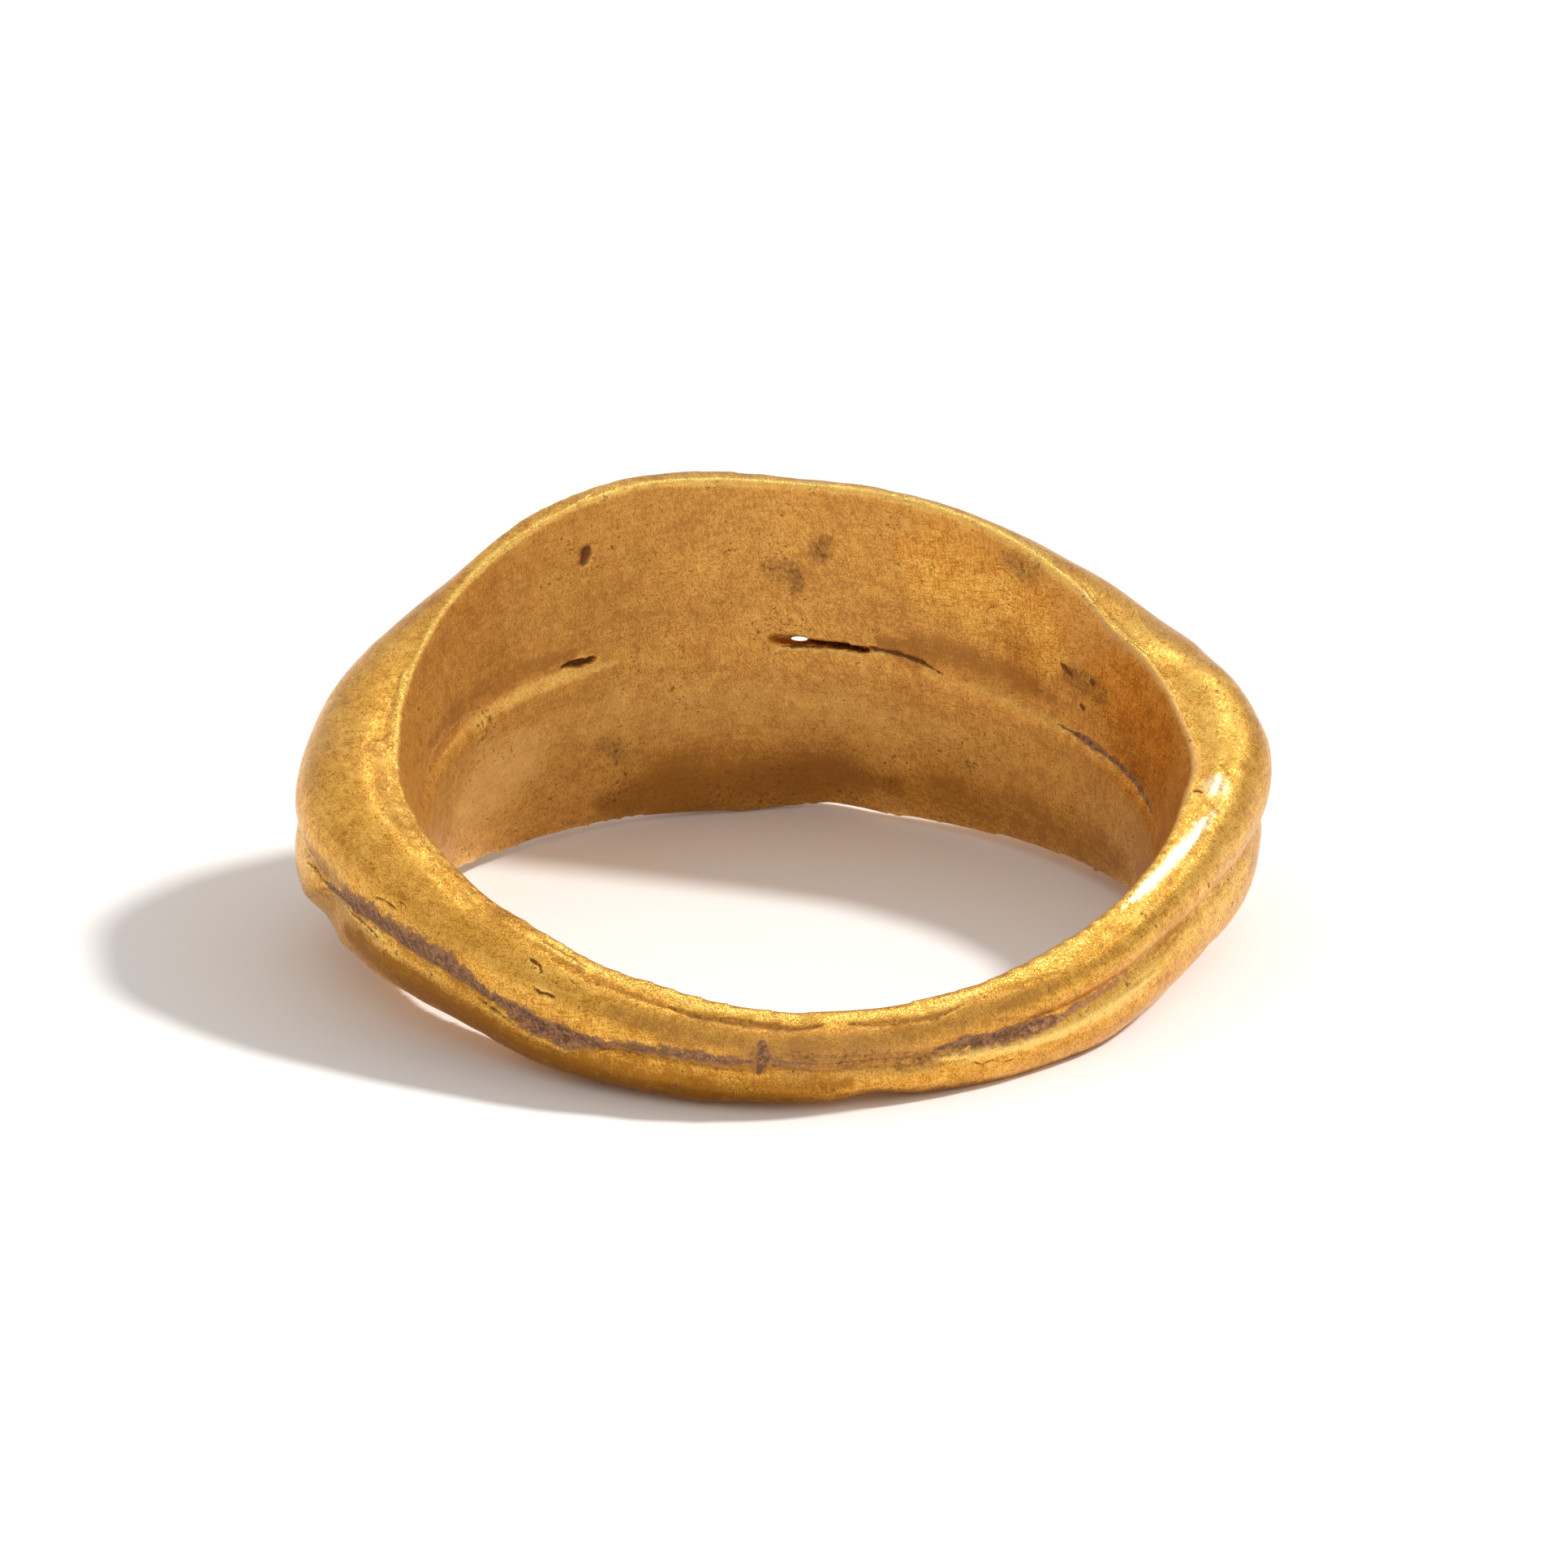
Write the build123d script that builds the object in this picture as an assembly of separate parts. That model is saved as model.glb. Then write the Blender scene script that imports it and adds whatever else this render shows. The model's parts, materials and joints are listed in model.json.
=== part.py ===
"""Double finger ring: two high-carat gold hoops soldered side by side into one solid.

Millimetres, +Z up. The ring lies on its side as it rests on a table: the wide bezel is at +Y,
the narrow back of the hoops at -Y, the finger hole runs roughly along Z, and both the bezel and
the back touch the table at z = 0. The origin is under the middle of the ring.

Each section is taken in a half plane through the axis of the finger hole. It holds the upper hoop
above the groove and the lower hoop below it, drawn with lines and arcs, and sixteen of them are
lofted round into one closed ring.
"""

import math
import os
from collections import namedtuple

from build123d import *

# Driving dimensions of the finger hole and the walls
HOLE_RADIUS = 7.8       # axis to the crease between the hoops
SHOULDER_WALL = 2.4     # crease to groove where the shoulder is heaviest
BEZEL_HEIGHT = 4.0      # one hoop at the bezel, groove to edge

# Driving dimensions of the edges and faces
RIM_WIDTH = 0.6         # flat edge of a hoop at the bezel
RIM_DROP = 0.1          # fall of that flat towards the outside
LIP_FLARE = 0.6         # upper edge outside the crease at the left shoulder
LEDGE = 0.3             # lower hoop's inner face proud of the crease
LEDGE_HEIGHT = 0.22     # crease to the top of the lower inner face
FACE_CROWN = 0.05       # rise of an inner face between its edges
SWELL = 0.35            # widest part of a hoop outside the groove
SWELL_PLACE = 0.48      # height of that widest part, as a share of the hoop's height
GROOVE_HALF = 0.16      # half the width of the groove's mouth
GROOVE_WALL = 0.55      # depth of the groove's sides, as a share of the swell beside it

# Driving dimensions of the wear
SLIT_LENGTH = 2.2       # through slit that has opened along the crease at the bezel
SLIT_HEIGHT = 0.2
SLIT_ANGLE = 74         # degrees round from the right shoulder
GAP_LENGTH = 0.5        # left end of the slit, which slants down and lets the light through
GAP_HEIGHT = 0.12
GAP_SLANT = 33          # degrees
CRACK_LENGTH = 1.2      # finer crack that runs on from the slit towards the right
CRACK_HEIGHT = 0.07
FOOT_WEAR = 0.04        # worn off the lower edges where the ring stands

# Shares of the sizes above, chosen section by section. The angle runs from the right shoulder
# at 0 over the bezel at 90 and the left shoulder at 180 to the back of the hoops at 270.
# hole: of HOLE_RADIUS      wall: of SHOULDER_WALL     upper, lower: of BEZEL_HEIGHT
# flare: of LIP_FLARE       ledge: of LEDGE            rim (upper), sill (lower): of RIM_WIDTH
# swell (upper), belly (lower): of SWELL              line: the groove's height, of GROOVE_HALF
Section = namedtuple("Section", "angle hole wall upper lower flare ledge rim sill swell belly line")
SECTIONS = [
    Section(0.0, 1.01, 0.95, 0.51, 0.61, 0.95, 0.50, 0.35, 0.50, 0.80, 0.40, 0.3),
    Section(22.5, 0.96, 0.92, 0.71, 0.81, 0.80, 0.80, 0.45, 0.60, 0.80, 0.55, 0.0),
    Section(45.0, 0.92, 0.68, 0.92, 0.955, 0.45, 0.55, 0.55, 0.75, 0.80, 0.70, 0.0),
    Section(67.5, 0.92, 0.465, 0.965, 1.07, 0.35, 0.30, 0.65, 0.90, 0.70, 0.70, 0.0),
    Section(90.0, 0.93, 0.38, 0.985, 1.11, 0.35, 0.40, 0.95, 1.00, 0.70, 0.70, 0.0),
    Section(112.5, 0.945, 0.40, 1.01, 1.06, 0.35, 0.60, 0.90, 0.95, 0.70, 0.70, 0.0),
    Section(135.0, 0.975, 0.54, 0.85, 0.965, 0.50, 0.70, 0.65, 0.70, 0.80, 0.70, 0.0),
    Section(157.5, 0.99, 0.87, 0.63, 0.75, 0.70, 0.70, 0.30, 0.50, 0.75, 0.50, 0.0),
    Section(180.0, 0.985, 1.00, 0.45, 0.53, 1.00, 0.50, 0.20, 0.50, 0.60, 0.40, 0.0),
    Section(202.5, 0.99, 0.64, 0.375, 0.41, 0.50, 0.35, 0.35, 0.60, 0.80, 0.50, 0.0),
    Section(225.0, 1.00, 0.50, 0.31, 0.37, 0.20, 0.15, 0.60, 0.80, 0.60, 0.45, -0.6),
    Section(247.5, 1.03, 0.50, 0.245, 0.29, 0.20, 0.00, 0.90, 1.00, 0.35, 0.40, -0.6),
    Section(270.0, 1.05, 0.43, 0.23, 0.255, 0.20, 0.00, 1.00, 1.10, 0.35, 0.40, 0.0),
    Section(292.5, 1.03, 0.37, 0.255, 0.325, 0.20, 0.00, 0.90, 1.35, 0.55, 0.70, 0.6),
    Section(315.0, 1.025, 0.37, 0.30, 0.41, 0.20, 0.15, 0.65, 1.20, 0.80, 0.85, 0.8),
    Section(337.5, 1.02, 0.55, 0.375, 0.49, 0.65, 0.35, 0.40, 0.80, 0.85, 0.70, 0.6),
]
BEZEL = SECTIONS[4]
BACK = SECTIONS[12]
OVERLAP = 3             # sections lofted past each end of a half


def section_plane(angle):
    """Half plane through the hole's axis: its x runs outwards and its y runs up the axis."""
    turn = math.radians(angle)
    return Plane(
        origin=(0, 0, 0),
        x_dir=(math.cos(turn), math.sin(turn), 0),
        z_dir=(math.sin(turn), -math.cos(turn), 0),
    )


def section_wire(row):
    """Outline of both hoops: up the inside, over the upper rim, down the outside and back."""
    crease = row.hole * HOLE_RADIUS
    groove = crease + row.wall * SHOULDER_WALL
    upper = row.upper * BEZEL_HEIGHT
    lower = row.lower * BEZEL_HEIGHT
    swell = row.swell * SWELL
    belly = row.belly * SWELL
    line = row.line * GROOVE_HALF
    lip = crease + row.flare * LIP_FLARE
    face = crease - row.ledge * LEDGE

    crease_point = (crease, 0)
    upper_edge = (lip, upper)
    upper_rim = (lip + row.rim * RIM_WIDTH, upper - RIM_DROP)
    upper_mouth = (groove + GROOVE_WALL * swell, line + GROOVE_HALF)
    lower_mouth = (groove + GROOVE_WALL * belly, line - GROOVE_HALF)
    lower_rim = (face + row.sill * RIM_WIDTH, RIM_DROP - lower)
    lower_edge = (face, -lower)
    ledge_point = (face, -LEDGE_HEIGHT)

    outline = [
        ThreePointArc(crease_point, ((crease + lip) / 2 - FACE_CROWN, upper / 2), upper_edge),
        Line(upper_edge, upper_rim),
        ThreePointArc(upper_rim, (groove + swell, SWELL_PLACE * upper), upper_mouth),
        Line(upper_mouth, (groove, line)),
        Line((groove, line), lower_mouth),
        ThreePointArc(lower_mouth, (groove + belly, -SWELL_PLACE * lower), lower_rim),
        Line(lower_rim, lower_edge),
        ThreePointArc(lower_edge, (face - FACE_CROWN, -(lower + LEDGE_HEIGHT) / 2), ledge_point),
        Line(ledge_point, crease_point),
    ]
    plane = section_plane(row.angle)
    return Wire([plane.from_local_coords(edge) for edge in outline])


def slit_cutter(angle, length, height, slant=0):
    """Thin block that lies along the crease and reaches out through the bezel wall."""
    depth = BEZEL.wall * SHOULDER_WALL + 2 * SWELL
    cutter = Pos(depth / 4, 0, 0) * Box(depth * 2, length, height)
    return Rot(0, 0, angle) * Pos(BEZEL.hole * HOLE_RADIUS, 0, 0) * Rot(0, slant, 0) * cutter


def half_ring(start):
    """Half of both hoops, lofted past its two ends and trimmed there so that halves run on."""
    steps = range(-OVERLAP, len(SECTIONS) // 2 + OVERLAP + 1)
    rows = [SECTIONS[(start + step) % len(SECTIONS)] for step in steps]
    loft = Solid.make_loft([section_wire(row) for row in rows])
    reach = 2 * (HOLE_RADIUS + SHOULDER_WALL + SWELL)
    side = Pos(0, reach / 2, 0) * Box(2 * reach, reach, 4 * BEZEL_HEIGHT)
    return loft & Rot(0, 0, SECTIONS[start].angle) * side


def hoops():
    """The two hoops as one soldered solid, about the axis of the finger hole."""
    ring = half_ring(0) + half_ring(len(SECTIONS) // 2)
    crack_angle = SLIT_ANGLE - math.degrees((SLIT_LENGTH + CRACK_LENGTH) / 2 / HOLE_RADIUS)
    gap_angle = SLIT_ANGLE + math.degrees((SLIT_LENGTH / 2 - GAP_LENGTH) / HOLE_RADIUS)
    ring = ring - slit_cutter(SLIT_ANGLE, SLIT_LENGTH, SLIT_HEIGHT)
    ring = ring - slit_cutter(gap_angle, GAP_LENGTH, GAP_HEIGHT, GAP_SLANT)
    return ring - slit_cutter(crack_angle, CRACK_LENGTH + 2 * SLIT_HEIGHT, CRACK_HEIGHT)


def laid_down(ring):
    """The ring tipped until its bezel and its back stand on z = 0, centred over the origin."""
    fall = (BEZEL.lower - BACK.lower) * BEZEL_HEIGHT
    reach = (BEZEL.hole + BACK.hole) * HOLE_RADIUS + RIM_WIDTH
    tilt = math.degrees(math.atan2(fall, reach))
    tipped = Rot(tilt, 0, 0) * ring
    box = tipped.bounding_box()
    middle = box.center()
    seated = Pos(-middle.X, -middle.Y, -box.min.Z - FOOT_WEAR) * tipped
    worn = Pos(0, 0, -FOOT_WEAR) * Box(box.size.X * 2, box.size.Y * 2, FOOT_WEAR * 2)
    return seated - worn


os.makedirs("parts", exist_ok=True)
double_ring = laid_down(hoops())
export_step(double_ring, "parts/double_ring.step")
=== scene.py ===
"""Looks of a double finger ring: two high-carat gold hoops soldered side by side, worn and dug up.

Metres, in the frame of the CAD model: +Z up, +X across the shoulders, +Y from the narrow back of
the hoops to the tall bezel. The ring is shaped in millimetres and turned to metres at the end.
"""
import json
import math
from collections import namedtuple

import bmesh
import bpy
import numpy as np
from bpy.props import FloatProperty, FloatVectorProperty, IntProperty, PointerProperty
from mathutils import Matrix, Vector, noise
from mathutils.bvhtree import BVHTree
from mathutils.kdtree import KDTree


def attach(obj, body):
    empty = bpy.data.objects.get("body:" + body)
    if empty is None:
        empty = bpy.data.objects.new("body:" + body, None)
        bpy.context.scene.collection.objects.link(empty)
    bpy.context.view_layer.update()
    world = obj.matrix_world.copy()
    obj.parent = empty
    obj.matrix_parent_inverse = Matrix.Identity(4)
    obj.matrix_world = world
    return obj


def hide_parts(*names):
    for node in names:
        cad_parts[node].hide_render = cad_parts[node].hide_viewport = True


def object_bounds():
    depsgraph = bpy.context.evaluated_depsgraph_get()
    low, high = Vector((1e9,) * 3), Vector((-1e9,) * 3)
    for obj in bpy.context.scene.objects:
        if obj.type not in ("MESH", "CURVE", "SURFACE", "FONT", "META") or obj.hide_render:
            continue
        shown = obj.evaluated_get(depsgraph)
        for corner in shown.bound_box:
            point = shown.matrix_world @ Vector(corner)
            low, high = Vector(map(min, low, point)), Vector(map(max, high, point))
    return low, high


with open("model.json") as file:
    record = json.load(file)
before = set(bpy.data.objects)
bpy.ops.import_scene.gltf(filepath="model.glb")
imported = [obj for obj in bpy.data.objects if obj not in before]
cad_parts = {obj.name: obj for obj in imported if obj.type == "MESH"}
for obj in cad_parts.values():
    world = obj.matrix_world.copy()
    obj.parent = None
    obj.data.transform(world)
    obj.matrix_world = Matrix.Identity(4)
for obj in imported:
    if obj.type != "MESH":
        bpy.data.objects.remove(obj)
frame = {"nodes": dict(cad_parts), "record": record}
CAD_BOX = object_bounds()

bl_info = {
    "name": "Double Finger Ring",
    "version": (1, 0, 0),
    "blender": (4, 5, 0),
    "location": "View3D > Sidebar > Double Ring",
    "description": "Builds the worn gold double ring and the stage that it lies on",
    "category": "Add Mesh",
}

MM = 0.001                  # metres in a millimetre
PICTURE = 1932              # width and height of the photograph in pixels
OPENING = frame["record"]["mounts"][0]
HOLE_POINT = Vector(OPENING["pos_m"]) / MM      # point of the finger hole's axis between the hoops
HOLE_AXIS = Vector(OPENING["axis"]).normalized()
HOLE_ACROSS = Vector((1, 0, 0))
HOLE_UPWARD = HOLE_AXIS.cross(HOLE_ACROSS)      # towards the bezel, square to the axis

SENSOR = 36                 # width of the camera's sensor in millimetres
PATH_STEP = 2               # pixels between the places along a mark
SAME_PLACE = 0.0005         # points nearer than this are one, in millimetres
REFINE_ROUNDS = 3           # times that the edges near a mark may be split
WEAK_STAIN = 0.60           # a stain up to this needs no finer cells
REFINE_REACH = 0.15         # how far from a mark the cells are fine, in millimetres
EDGE_SLACK = 1.4            # an edge is split where it is this many fine cells long
WIDE_STEP = 0.2             # a mark this many millimetres wide takes each of its places
RIDGE_BLUR = 3              # times that the sharpness is spread to its neighbours
RIDGE_LOW = 0.8             # sharpness, in 1 per millimetre, where an edge starts to be rubbed
RIDGE_HIGH = 3.0            # and where it is rubbed bright
END_TAPER = 0.35            # width of a mark at its ends, as a share of its middle
TAPER_SPEED = 5             # how soon a mark has its full width
ROUGH_EDGE = 0.6            # how much that width wanders along the mark, as a share of it
ROUGH_STEP = 0.16           # over how many millimetres it does
MARK_EDGE = 0.8             # share of a mark's width over which its soil thins out
MEAN_REACH = 8.5            # axis to the middle of the wall, in millimetres
INNER = (0.1, 0.6)          # how far a face looks inwards where the inside starts and is full
HIDDEN_ANGLES = (22, 165)   # degrees round the hole where the photograph hides the outer groove
HIDDEN_BAND = 0.22          # half the width of the soil there, in millimetres
MIX_SHARE, MIX_A, MIX_B, MIX_RESULT = 0, 6, 7, 2    # sockets of a Mix node that mixes colours
SMOOTH_SHARE = 0.5          # of the way to its neighbours that smoothing moves a point each time
CLIP_START = 0.01           # metres from the camera where its view starts

# Seeds of the random forms
WAVE_SEED, RIPPLE_SEED, DIMPLE_SEED, NICK_SEED, GRIT_SEED, PATCH_SEED = 3, 7, 11, 17, 23, 29
NICKED = (-0.1, 0.4)        # height of the ripples where nicks start and where they are full
PATCHED = (-0.5, 0.2)       # height of the patches where hidden soil starts and where it is full

# Widths of the gold's patterns, in millimetres
CLOUD = 1.4                 # brighter and browner clouds
MOTTLE = 0.3                # mottling of the worn skin
FLECK = 0.11                # flecks in it
GRAIN = 0.05                # grains of a rubbed edge and of the soil
STREAK_LENGTH = 1.4         # rubbed streaks that run round the hoops
STREAK_WIDTH = 0.07
SCRATCH_LENGTH = 0.32       # fine scratches
SCRATCH_WIDTH = 0.03
SCRATCH_TURNS = (0.5, 1.3, 1.9, 2.7, 3.8)   # one way that they run, in radians, for each
SCRATCH_TILT = (1, 1.7, 2.3)                # how much of that turn is about each axis
NOISE_DETAIL = 4.0          # how many finer patterns are laid over the first
NOISE_ROUGHNESS = 0.6       # how strong each is beside the one before

# Levels of the gold's patterns where something starts and where it is full
SCRATCHED = (0.58, 0.70)
MIDDLE_TONE = (0.32, 0.47)
BRIGHT_TONE = (0.44, 0.64)
PALE_EARTH = (0.41, 0.59)
SATIN = (0.35, 0.65)
# The same of specks, stains and soil, with how fully they cover the gold
SPECKS = (0.74, 0.84, 0.75)
STAINS = (1.8, 2.8, 0.95)
SOIL = (3.3, 3.85, 1.0)
GOLD_ROUGHNESS = 0.27
PAPER_ROUGHNESS = 0.9

# Marks on the gold, by the photograph's pixels. A path holds the points of one mark.
# width: from its middle to its edge, and depth: pressed in, or raised below 0, in millimetres.
# soil, stain, rub, film and polish: how full of soil, how stained, how rubbed bright or painted
# lighter where light falls (dull below 0, which is mostly painted shade), how pale with a film
# (clean below 0) and how polished it is, with a painted near-white highlight, up to 1.
Mark = namedtuple("Mark", "name path width depth soil stain rub film polish", defaults=(0.0,) * 6)
MARKS = [
    # Rubbed edges of the upper hoop, and painted highlights and painted light on its right
    Mark("rim of the bezel", ((757, 599), (800, 594), (840, 592), (900, 592), (961, 594),
         (1000, 596), (1040, 600), (1099, 609), (1140, 623), (1180, 635), (1222, 650), (1260, 668),
         (1290, 688)), 0.22, rub=1.0),
    Mark("rim at the left", ((735, 604), (700, 626), (652, 655), (621, 672), (597, 690), (569, 722),
         (549, 748), (536, 771), (526, 790), (515, 813), (504, 842), (495, 861), (490, 881),
         (487, 901), (486, 921), (487, 942), (493, 954), (498, 973), (510, 1010)), 0.10,
         depth=-0.01, rub=0.8),
    Mark("rim at the left front", ((510, 1012), (519, 1027), (536, 1048), (559, 1070), (578, 1089),
         (602, 1111), (628, 1130)), 0.08, rub=0.7),
    Mark("fill beside the left rim", ((498, 829), (485, 877), (481, 927), (488, 976), (509, 1017),
         (538, 1057), (574, 1095), (616, 1130), (665, 1162), (718, 1192)), 0.26, depth=-0.04),
    Mark("facet at the front", ((638, 1132), (661, 1149), (700, 1174), (740, 1194), (780, 1208),
         (820, 1222), (860, 1235), (900, 1245), (939, 1250), (985, 1255), (1031, 1254),
         (1062, 1252), (1099, 1250), (1139, 1245), (1180, 1231), (1236, 1207), (1281, 1185),
         (1320, 1161), (1354, 1138)), 0.30, rub=0.45),
    # Painted highlight: the streak and spot where the lamp's highlight falls on the right shoulder,
    # polished smooth and painted near-white.
    Mark("polished streak", ((1498, 998), (1470, 1030), (1440, 1066), (1410, 1096), (1386, 1118)),
         0.20, rub=0.3, polish=1.0),
    Mark("polished spot", ((1499, 958), (1496, 974)), 0.36, rub=0.3, polish=1.0),
    # Painted light: the lit right shoulder and the right of the lower hoop are painted brighter, on
    # top of their wear.
    Mark("rubbed right shoulder", ((1400, 775), (1440, 825), (1490, 880), (1520, 935), (1525, 985),
         (1500, 1040), (1450, 1105)), 1.1, rub=0.35),
    Mark("rubbed lower hoop on the right", ((1540, 1060), (1505, 1120), (1450, 1180), (1380, 1232),
         (1290, 1275)), 0.45, rub=0.4),
    Mark("dull strip along the right edge", ((1308, 697), (1336, 735), (1372, 776), (1413, 818),
         (1437, 847), (1450, 877), (1463, 915), (1467, 940), (1465, 962), (1455, 1000),
         (1450, 1025)), 0.12, film=1.0),
    # The outer groove, from the left edge over the front to the right edge
    Mark("groove at the left edge", ((376, 1034), (390, 1066), (409, 1091)), 0.12, depth=0.02,
         soil=0.4, stain=0.3),
    Mark("soil in the left groove", ((409, 1091), (441, 1114), (470, 1134), (500, 1156),
         (541, 1180), (577, 1203), (609, 1223)), 0.68, depth=-0.08, soil=0.9, stain=0.3),
    Mark("darker soil at the left front", ((600, 1219), (630, 1236), (656, 1250), (682, 1262),
         (714, 1273), (752, 1284)), 0.50, depth=-0.06, soil=1.0, stain=0.3),
    Mark("lip under the left groove", ((396, 1104), (430, 1133), (460, 1154), (486, 1175),
         (535, 1205), (577, 1229), (640, 1264), (700, 1290)), 0.20, depth=-0.01, soil=0.1,
         stain=0.4, rub=0.7),
    Mark("fissure by the left edge", ((376, 1061), (387, 1068), (400, 1086), (415, 1102)), 0.05,
         depth=0.03, stain=0.9),
    Mark("fissure under the soil", ((417, 1117), (430, 1126), (442, 1133), (452, 1144),
         (466, 1157)), 0.05, depth=0.03, stain=0.9),
    Mark("crust at the left edge", ((379, 1052), (393, 1068), (409, 1087), (426, 1101)), 0.30,
         soil=0.45, stain=0.45),
    Mark("fissure in the lip", ((588, 1228), (612, 1243), (640, 1262)), 0.04, depth=0.03,
         stain=0.8),
    Mark("thin soil at the front", ((745, 1282), (777, 1289), (805, 1294), (850, 1300), (895, 1309),
         (925, 1308)), 0.30, soil=0.8, stain=0.5),
    Mark("brown stain at the front", ((900, 1304), (960, 1310), (1040, 1310), (1110, 1306),
         (1165, 1297)), 0.55, stain=0.55, rub=-0.3, film=0.6),
    Mark("brown foot at the front", ((820, 1338), (900, 1346), (980, 1347), (1050, 1338)), 0.50,
         stain=0.45, rub=-0.7),
    Mark("dull front", ((750, 1245), (830, 1270), (920, 1282), (1040, 1284), (1140, 1274),
         (1220, 1246), (1300, 1212)), 0.50, rub=-0.35, film=0.3),
    # Painted highlight: a bright band along the lip where light catches it.
    Mark("bright lip under the right groove", ((1150, 1304), (1200, 1299), (1250, 1290),
         (1310, 1272), (1370, 1240), (1425, 1200)), 0.18, depth=-0.02, rub=1.0, film=-0.2,
         polish=0.15),
    Mark("dark clod", ((938, 1284), (942, 1296), (939, 1309), (935, 1321)), 0.27, depth=-0.02,
         soil=0.9, stain=0.6),
    Mark("earth beside the clod", ((944, 1306), (975, 1310), (1020, 1312)), 0.16, soil=0.6,
         stain=0.3),
    Mark("upper striation", ((952, 1297), (1000, 1302), (1060, 1302), (1140, 1297)), 0.04,
         depth=0.02, stain=0.5),
    Mark("middle striation", ((952, 1308), (1010, 1312), (1080, 1310), (1150, 1302)), 0.04,
         depth=0.03, stain=0.7),
    Mark("lower striation", ((960, 1319), (1010, 1322), (1080, 1319), (1130, 1311)), 0.05,
         depth=0.03, stain=0.5),
    Mark("soil in the right groove", ((1153, 1293), (1183, 1285), (1210, 1280), (1250, 1273),
         (1283, 1263), (1310, 1253)), 0.34, soil=0.9, stain=0.4),
    Mark("thin soil in the right groove", ((1310, 1252), (1327, 1240), (1350, 1227), (1383, 1205),
         (1397, 1190)), 0.20, depth=0.02, soil=0.65, stain=0.4),
    Mark("line of the right groove", ((1397, 1190), (1427, 1168), (1455, 1142), (1470, 1127)), 0.16,
         depth=0.06, soil=0.45, stain=0.3, film=0.6),
    Mark("hole in the right groove", ((1491, 1090), (1493, 1096)), 0.06, depth=0.03, stain=1.0),
    Mark("soil specks over it", ((1223, 1258), (1250, 1255), (1283, 1253)), 0.12, soil=0.3,
         stain=0.5),
    # Lines along the upper rim: shallow hollows and a crease, darkened with painted shade
    Mark("line under the left front rim", ((681, 1181), (714, 1198), (752, 1214), (797, 1231),
         (831, 1242)), 0.20, depth=0.01, stain=0.45, rub=-0.5),
    Mark("hollow under the front rim", ((825, 1240), (860, 1251), (902, 1257), (945, 1263),
         (975, 1266), (1012, 1263)), 0.20, depth=0.03, stain=0.6, rub=-0.5),
    Mark("hollow right of it", ((1046, 1261), (1075, 1261), (1112, 1258), (1150, 1253),
         (1180, 1241)), 0.18, depth=0.025, stain=0.55, rub=-0.4),
    Mark("line under the right front rim", ((1180, 1240), (1225, 1221), (1262, 1212), (1300, 1199)),
         0.16, depth=0.01, stain=0.35, rub=-0.4),
    Mark("line beside the right rim", ((1326, 708), (1378, 770), (1420, 810), (1442, 842),
         (1458, 876), (1472, 914), (1475, 962)), 0.06, depth=0.02, stain=0.3),
    # The crease between the inner faces
    # Painted shade: the slit's run is darkened where shade falls in it.
    Mark("dark run into the slit", ((958, 796), (985, 796), (1030, 798), (1076, 801)), 0.08,
         stain=0.9),
    Mark("slit's run-out", ((1058, 797), (1078, 800), (1110, 807), (1137, 817), (1159, 830)), 0.08,
         depth=0.06, stain=1.0),
    # Painted shade over the crease, on the right and on the left.
    Mark("dark band over the crease", ((1085, 792), (1130, 800), (1180, 808), (1240, 830),
         (1300, 862)), 0.45, rub=-0.7),
    Mark("dark band on the left", ((528, 920), (560, 876), (600, 848), (650, 826), (720, 800)),
         0.30, rub=-0.5),
    # Painted highlight: the ledges under the crease are lightened where light catches them.
    Mark("rubbed ledge on the right", ((1133, 826), (1163, 838), (1236, 866), (1290, 894)), 0.22,
         rub=0.7),
    Mark("rubbed ledge on the left", ((548, 930), (575, 896), (603, 876), (640, 857), (700, 834),
         (760, 816)), 0.22, rub=0.8),
    Mark("blind slit", ((692, 823), (702, 819), (716, 817), (736, 811)), 0.10, depth=0.18,
         stain=1.0),
    Mark("soil in the left crease", ((598, 869), (570, 886), (546, 903), (532, 930), (522, 962)),
         0.12, soil=0.65, stain=0.2),
    Mark("soil in the right crease", ((1303, 892), (1333, 908), (1360, 927), (1380, 943),
         (1400, 964), (1413, 987), (1422, 1010)), 0.11, depth=0.02, soil=0.8, stain=0.9),
    # Pits and stains of the inner faces, with painted shade and painted light on the lower face
    Mark("dark pit", ((724, 676), (722, 686), (719, 695)), 0.28, depth=0.06, stain=1.0),
    Mark("pit under the rim", ((996, 603), (997, 604)), 0.06, depth=0.02, stain=1.0),
    Mark("pit in the left ledge", ((595, 889), (596, 894)), 0.06, depth=0.025, stain=0.8),
    Mark("scratch on the right", ((1306, 817), (1314, 826), (1322, 834)), 0.09, depth=0.02,
         stain=1.0),
    Mark("pit on the right", ((1343, 838), (1347, 843)), 0.12, depth=0.03, stain=1.0),
    Mark("pit below it", ((1331, 868), (1335, 874)), 0.10, depth=0.02, stain=1.0),
    Mark("brown stain on the right", ((1312, 830), (1345, 848), (1370, 862)), 0.6, stain=0.6),
    Mark("grey smudge", ((1022, 664), (1008, 672), (1012, 690)), 0.50, soil=0.1, stain=0.58),
    Mark("its lower end", ((938, 696), (966, 704), (985, 712), (978, 732)), 0.60, stain=0.57),
    Mark("brown smudge", ((1240, 688), (1262, 702), (1275, 712)), 0.7, stain=0.57),
    Mark("curved crack", ((1214, 754), (1221, 748), (1229, 746)), 0.05, depth=0.015, stain=0.8),
    # Painted shade: the foot of the lower face is darkened where it reflects the shadowed floor.
    Mark("dull lower face", ((745, 990), (800, 980), (870, 974), (950, 968), (1050, 964),
         (1110, 968)), 1.25, stain=0.42, rub=-0.6, film=-0.2),
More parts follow.
